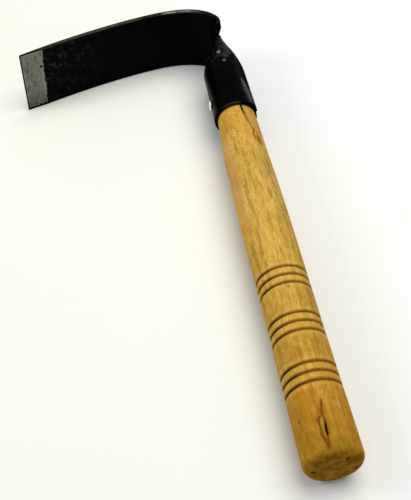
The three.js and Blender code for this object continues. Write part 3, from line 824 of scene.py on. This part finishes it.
def inside_ground(station, s, height, into_bevel, bevel, length):
    """How far points of the front lie inside the ground steel, below 0 where the enamel is left."""
    wave = noise.noise(Vector((station / 2.1, 4.2, 0.0)))
    wave += noise.noise(Vector((station / 0.8, 1.2, 0.0)))
    black_edge = 1.5 + 1.3 * np.clip(1 - into_bevel / bevel, 0.0, 1.0) + 1.1 * wave
    inside = np.minimum(HALF_WIDTH - 0.8 - height, height + HALF_WIDTH - black_edge)
    inside = np.minimum(np.minimum(3 * inside, into_bevel), 3 * (length - 0.8 - s))
    return np.minimum(inside, 4.0)


def make_blade():
    line, distance = blade_back()
    length = distance[-1]
    section = blade_section()
    share, added, height, wear_and_shine_share = section.T
    around = len(section)
    stations = blade_stations(length)

    def on_line(s):
        """The points of the back's line at some distances along it."""
        return np.stack((np.interp(s, distance, line[:, 0]), np.interp(s, distance, line[:, 1])), axis=1)

    rings, grounds = [], []
    # The bevel's upper border isn't quite straight
    crooked = 0.9 * np.array([noise.noise(Vector((0.0, 3.3, z / 9))) for z in height])
    bevel = BEVEL_LENGTH + height / HALF_WIDTH + crooked
    for j, station in enumerate(stations):
        s = np.maximum(station, heel_outline(height) + 0.06 * j)
        s = np.minimum(s, length)
        x, y = on_line(s).T
        way = on_line(np.minimum(s + 0.5, length)) - on_line(np.maximum(s - 0.5, 0.0))
        way /= np.linalg.norm(way, axis=1)[:, None]
        plate = lerp(ROOT_THICKNESS, TIP_THICKNESS, np.maximum(0, s - TANG_LENGTH) / length)
        into_bevel = s - (length - bevel)
        thickness = plate - np.maximum(0, into_bevel) * (plate - EDGE_THICKNESS) / bevel
        squeeze = np.minimum(1.0, thickness / 1.2)
        flare = ear_flare(s, height)
        depth = share * thickness + added * squeeze - flare
        if j < 3:
            # Both edges of the plate's first end are rounded
            rounding = EDGE_ROUNDING * (1 - math.sin(math.radians(30 * j)))
            depth = np.clip(depth, rounding - flare, thickness - rounding - flare)
        if j == len(stations) - 1:
            depth = np.clip(depth, 0.15, thickness - 0.15)
        lean = BLADE_LEAN * smoothstep(s, TANG_LENGTH, TANG_LENGTH + LEAN_LENGTH)
        ring = np.stack((x - way[:, 1] * depth, y + way[:, 0] * depth + lean * height, height), axis=1)
        rings.append(ring)
        inside = inside_ground(station, s, height, into_bevel, bevel, length)
        grounds.append(np.where(share > 0.5, inside, -6.0))
    points = np.vstack(rings)
    ground = np.concatenate(grounds)
    s_all = np.repeat(stations, around)
    on_face = np.tile(np.abs(height) < WORN_AND_LIT_RIM[0], len(stations))
    facing = np.tile(np.where(share > 0.5, 1.0, -1.0), len(stations))
    plain_part = smoothstep(s_all, TANG_LENGTH + 4, TANG_LENGTH + 16)
    plain_part *= 1 - smoothstep(s_all, length - 20, length - 14)
    dents = 0.07 * (1 + bumpy(points, (16, 16, 12), 21)) * plain_part * on_face
    normal = np.zeros_like(points)
    normal[:, 1] = facing
    points += normal * dents[:, None]

    faces = loft_faces(len(stations), around)
    last = (len(stations) - 1) * around
    for i in range(around // 2 - 1):
        faces.append((i + 1, i, around - 1 - i, around - 2 - i))
        faces.append((last + i, last + i + 1, last + around - 2 - i, last + around - 1 - i))
    from_fleck = np.hypot(points[:, 0] - FLECK[0], points[:, 2] - FLECK[1])
    ground = np.minimum(ground, (from_fleck - FLECK_RADIUS) * 4)
    rough = smoothstep(s_all, length - 75, length - 18)
    rough *= lerp(0.35, 1.0, smoothstep(points[:, 2], -12, 12))
    rough = np.maximum(rough, 0.7 * (1 - smoothstep(s_all, 16, 34)))
    # Bare metal with a painted highlight along the top edge, strongest near the crown
    bare_and_highlit = np.interp(points[:, 0], EDGE_SHINE_PLACES, EDGE_WEAR_AND_SHINE)
    layers = {"rough": rough, "wear_and_highlight": np.tile(wear_and_shine_share, len(stations)) * bare_and_highlit, "ground": ground}
    material = enamel_look("enamel_and_ground_steel", has_edge=True)
    return piece_from("curved_blade", points, faces, material, "blade", layers)


# ---------------------------------------------------------------------------------------------------
# The two seam welds and the nail
# ---------------------------------------------------------------------------------------------------
def make_weld(name, node, side, seed):
    """A low, lumpy run of weld along the pinched socket's upper (1) or lower (-1) seam."""
    start, end = weld_low[1], weld_high[1]
    widest = (weld_high[0] - weld_low[0]) / 2
    top = abs(weld_high[2])
    tallest = top - PINCH_HALF_HEIGHT - 0.2
    sunk = 0.35                                  # how deep the bead's sides lie in the socket
    count, arc = 130, 26
    rings = []
    for i in range(count):
        t = i / (count - 1)
        y = lerp(start, end, t)
        half_width, half_height, squareness = socket_section(y)
        fullness = max(0.02, math.sin(math.pi * lerp(0.02, 0.98, t))) ** 0.5
        uneven = 1 + 0.12 * noise.noise(Vector((seed, y / 2.5, 0)))
        half = min(widest, half_width - 0.3) * min(1.0, fullness * uneven)
        ring = []
        for k in range(arc):
            angle = math.pi * k / (arc - 1)
            across_bead = math.cos(angle)
            ripple = math.cos(2 * math.pi * (y / 2.2 + 0.35 * across_bead ** 2))
            lump = noise.noise(Vector((across_bead * 1.1, y / 3.2, seed)))
            grain = noise.noise(Vector((across_bead * 3.0, y / 1.1, seed + 3)))
            lumpy = 0.8 + 0.05 * ripple + 0.5 * lump + 0.25 * grain
            x = half * across_bead
            rise = (1 - min(1.0, abs(x) / half_width) ** squareness) ** (1 / squareness)
            z = half_height * rise - sunk
            z += (tallest + sunk) * fullness * lumpy * math.sin(angle) ** 1.4
            ring.append((DRIFT + x, y, side * min(z, top - 0.02)))
        # The bead's underside, inside the socket's wall
        for k in range(1, 8):
            x = lerp(ring[arc - 1][0], ring[0][0], k / 8)
            ring.append((x, y, side * (abs(ring[0][2]) - 0.3)))
        rings.append(ring)
    around = len(rings[0])
    points = np.array([p for ring in rings for p in ring])
    poles = np.array([np.mean(rings[0], axis=0), np.mean(rings[-1], axis=0)])
    total = len(points)
    faces = loft_faces(count, around, start_pole=total, end_pole=total + 1)
    points = np.vstack((points, poles))
    # Painted glints on the weld, at the same places as on the socket's neck
    layers = {"wear_and_highlight": neck_painted_glints(points)}
    return piece_from(name, points, faces, weld_look(), node, layers)


def make_nail():
    """A round-headed nail that points along +X, its head domed and a little battered."""
    head_radius = (nail_high[2] - nail_low[2]) / 2
    middle = (nail_high + nail_low) / 2
    face_x, head_height, shank_radius = nail_low[0], 1.2, 1.6
    profile = []                                 # (distance in from the head's top, radius)
    for i in range(1, 10):
        angle = math.radians(90 * i / 9)
        profile.append((0.75 * (1 - math.cos(angle)), head_radius * math.sin(angle) ** 0.9))
    profile += [(0.95, head_radius), (1.1, head_radius - 0.08), (head_height, head_radius - 0.3)]
    profile += [(head_height, 1.8), (head_height + 0.2, shank_radius), (head_height + 16.0, shank_radius)]
    profile.append((nail_high[0] - face_x - 0.1, 0.25))
    around = 56
    turn = np.linspace(0, 2 * math.pi, around, endpoint=False)
    rings = []
    for inside, radius in profile:
        rings.append(np.stack((np.full(around, face_x + inside), middle[1] + radius * np.cos(turn),
                               middle[2] + radius * np.sin(turn)), axis=1))
    points = np.vstack(rings)
    on_head = points[:, 0] < face_x + 0.9
    points[:, 0] += 0.08 * (1 + bumpy(points, 1.9, 31)) * on_head
    total = len(points)
    poles = np.array([(face_x + 0.08, middle[1], middle[2]), (nail_high[0], middle[1], middle[2])])
    faces = loft_faces(len(profile), around, start_pole=total, end_pole=total + 1)
    points = np.vstack((points, poles))
    return piece_from("round_head_nail", points, faces, nail_look(), "nail", {})


make_handle()
make_socket()
make_blade()
make_weld("upper_weld", "upper_seam_weld", 1, 4.0)
make_weld("lower_weld", "lower_seam_weld", -1, 9.0)
make_nail()


# ---------------------------------------------------------------------------------------------------
# Floor, light and camera
# ---------------------------------------------------------------------------------------------------
def make_floor():
    mesh = bpy.data.meshes.new("floor")
    reach = 3.0
    mesh.from_pydata([(-reach, -reach, 0), (reach, -reach, 0), (reach, reach, 0), (-reach, reach, 0)], [],
                     [(0, 1, 2, 3)])
    mesh.materials.append(floor_look())
    floor = bpy.data.objects.new("floor", mesh)
    bpy.context.scene.collection.objects.link(floor)


def area_light(name, place, size, power, colour):
    """A round lamp that points at the part's middle."""
    lamp = bpy.data.lights.new(name, "AREA")
    lamp.shape = "DISK"
    lamp.size = size
    lamp.energy = power
    lamp.color = colour
    light = bpy.data.objects.new(name, lamp)
    light.location = place
    light.rotation_euler = (-Vector(place)).to_track_quat("-Z", "Y").to_euler()
    bpy.context.scene.collection.objects.link(light)


def make_light():
    area_light("overhead", place=(0.4, 0.2, 1.25), size=1.3, power=14.5, colour=(1.0, 0.967, 0.87))
    area_light("window", place=(-1.1, 0.15, 0.8), size=0.6, power=4.6, colour=(1.0, 0.98, 0.92))
    world = bpy.data.worlds.new("studio")
    world.use_nodes = True
    background = world.node_tree.nodes["Background"]
    background.inputs["Color"].default_value = (0.86, 0.935, 1.0, 1.0)
    background.inputs["Strength"].default_value = 0.45
    bpy.context.scene.world = world


def make_camera():
    """The camera stands behind the butt and to its left, and looks down along the handle."""
    lens = bpy.data.cameras.new("camera")
    lens.sensor_width = 36.0
    lens.lens = 64.81
    camera = bpy.data.objects.new("camera", lens)
    camera.location = (butt.x - 0.1056, butt.y - 0.2068, 0.4518)
    heading, pitch = math.radians(9.85), math.radians(49.23)
    level = math.cos(pitch)
    looks = Vector((math.sin(heading) * level, math.cos(heading) * level, -math.sin(pitch)))
    camera.rotation_euler = looks.to_track_quat("-Z", "Y").to_euler()
    bpy.context.scene.collection.objects.link(camera)
    bpy.context.scene.camera = camera


make_floor()
make_light()
make_camera()
bpy.context.scene.view_settings.view_transform = "Standard"
